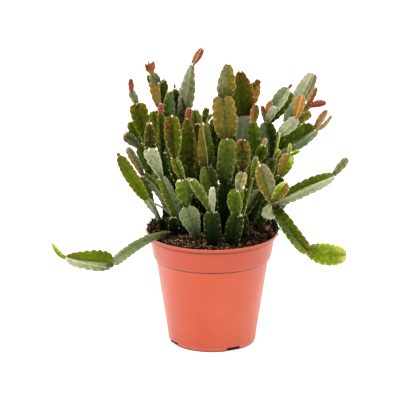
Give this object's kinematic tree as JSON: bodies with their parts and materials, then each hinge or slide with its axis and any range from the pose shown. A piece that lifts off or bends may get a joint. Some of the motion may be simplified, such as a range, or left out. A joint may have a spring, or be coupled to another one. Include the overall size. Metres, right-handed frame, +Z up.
{
  "type": "potted rhipsalis agudoensis",
  "caption": "Bushy epiphytic cactus with flat and three-winged scalloped stem segments, in a round tapered nursery pot filled with peat.",
  "frame": {"origin": "middle of the pot's flat underside, on the surface that it stands on", "axes": "+Z up; the side that the picture shows faces -Y, with +X to its right"},
  "size_m": [0.2645, 0.1731, 0.2725],
  "materials": {
    "pot": "satin",
    "soil": "matte",
    "stem": "satin"
  },
  "bodies": {
    "root": {"pot": "pot", "soil": "soil", "stem_trailing_left": "stem", "stem_outer_left": "stem", "stem_left_pale": "stem", "stem_left_forked": "stem", "stem_left_bronze": "stem", "stem_left_tall": "stem", "stem_crown_left": "stem", "stem_crown_green": "stem", "stem_left_inner": "stem", "stem_front_left": "stem", "stem_crown_middle": "stem", "stem_middle_green": "stem", "stem_middle_dark": "stem", "stem_middle_front": "stem", "stem_crown_front": "stem", "stem_crown_right": "stem", "stem_front_right": "stem", "stem_front_middle": "stem", "stem_trailing_right": "stem", "stem_right_slim": "stem", "stem_right_tall": "stem", "stem_outer_right_dark": "stem", "stem_right_young": "stem", "stem_right_red_tip": "stem", "stem_right_green": "stem", "stem_outer_right": "stem", "stem_back_1": "stem", "stem_back_2": "stem", "stem_back_3": "stem", "stem_back_4": "stem", "stem_back_5": "stem", "stem_back_6": "stem", "stem_back_7": "stem", "stem_back_8": "stem", "stem_back_9": "stem", "stem_back_10": "stem"}
  },
  "joints": []
}
